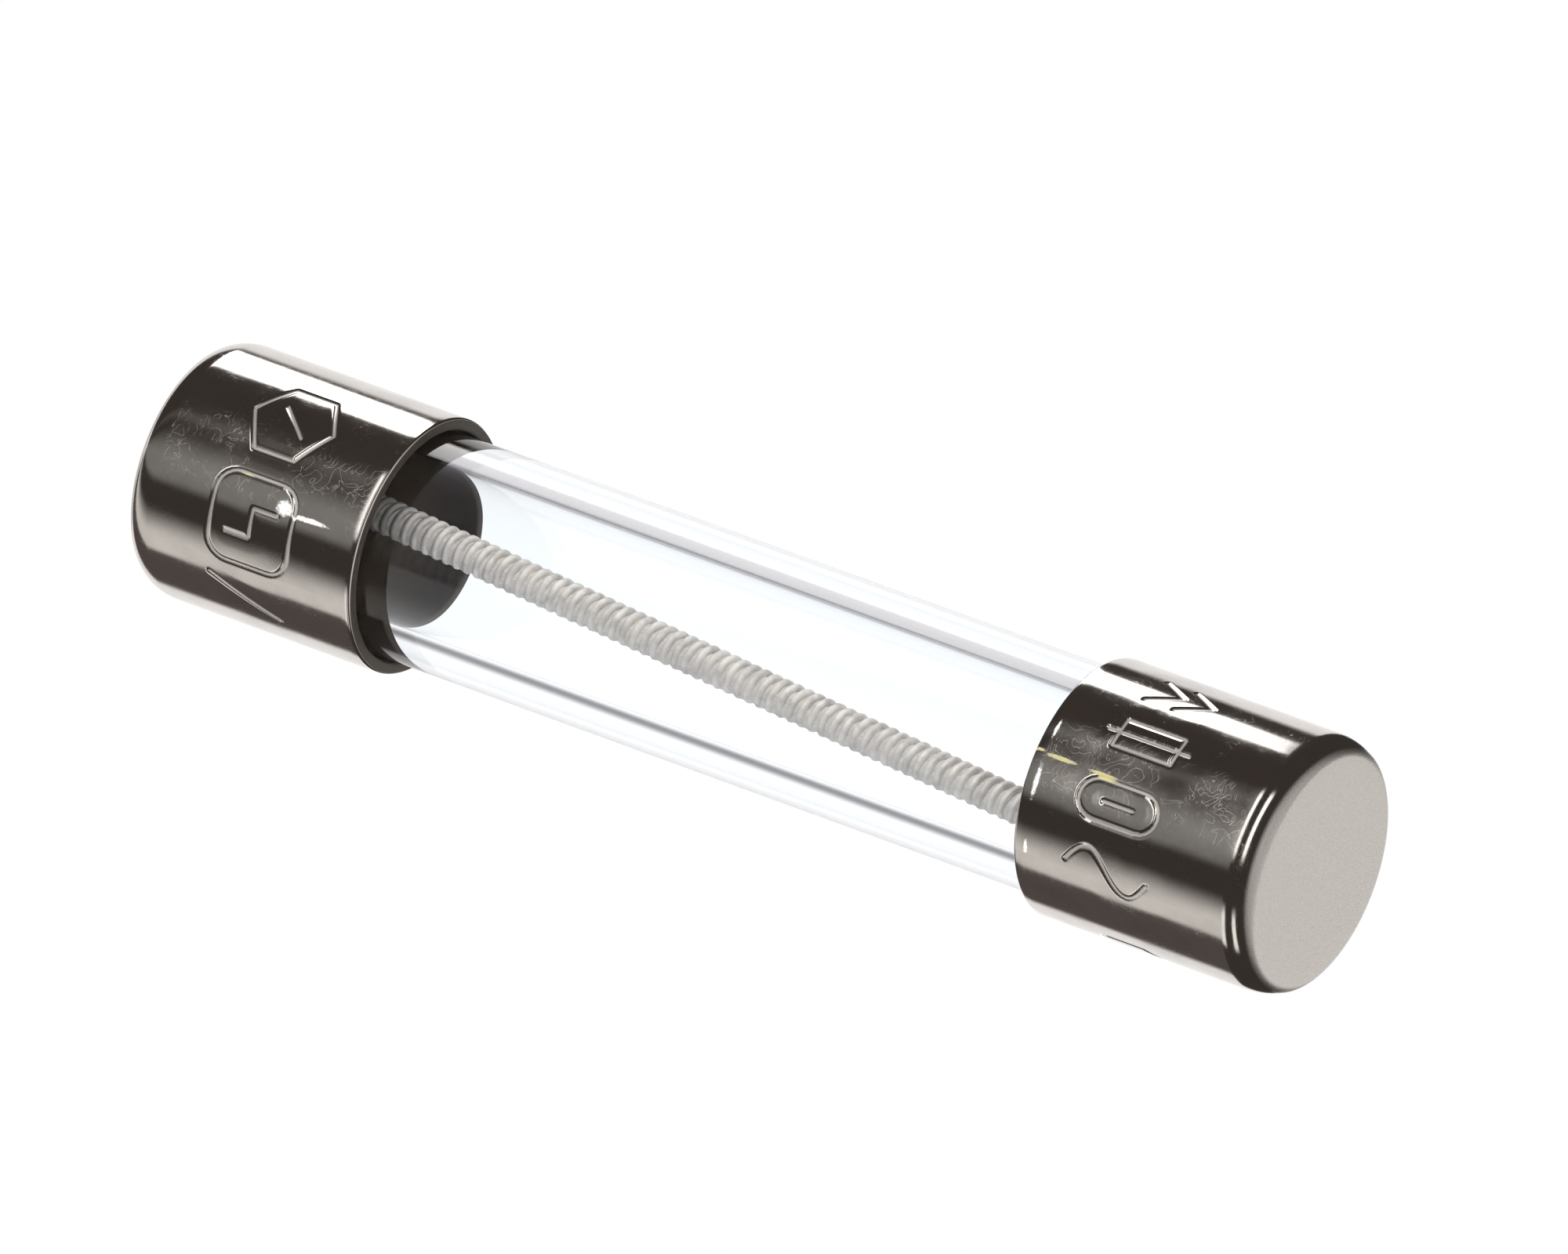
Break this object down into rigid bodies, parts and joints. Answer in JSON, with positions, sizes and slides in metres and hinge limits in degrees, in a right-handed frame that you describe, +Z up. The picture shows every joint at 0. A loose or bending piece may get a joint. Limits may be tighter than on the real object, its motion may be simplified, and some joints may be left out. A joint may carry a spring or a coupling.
{
  "type": "cartridge fuse",
  "caption": "Cylindrical glass-tube fuse with plated metal end caps and a spiral-wound time-delay element soldered between them, for clip or screw-cap fuse holders.",
  "frame": {"origin": "middle of the fuse, on its axis: the centre of its box", "axes": "+X along the fuse's axis to the right-hand cap, which is the end that the element leans down towards; +Z up with the fuse lying on its side; +Y completes a right-handed frame"},
  "size_m": [0.0318, 0.0064, 0.0064],
  "materials": {
    "tube_glass": "clear drawn borosilicate tube, fire-polished ends, very faint cool tint",
    "cap_plating": "bright nickel plate on drawn brass, slightly warm, fine handling scuffs, satin end faces with a polished corner",
    "core_yarn": "twisted glass-fibre yarn, matt off-white, darkened between the turns",
    "tinned_wire": "tinned copper wire, satin grey, closely wound",
    "solder": "tin solder, dull grey, lumpy meniscus with flux haze"
  },
  "bodies": {
    "root": {"glass_tube": "tube_glass", "left_end_cap": "cap_plating", "right_end_cap": "cap_plating", "element_core": "core_yarn", "fuse_wire": "tinned_wire", "left_solder": "solder", "right_solder": "solder"}
  },
  "joints": []
}
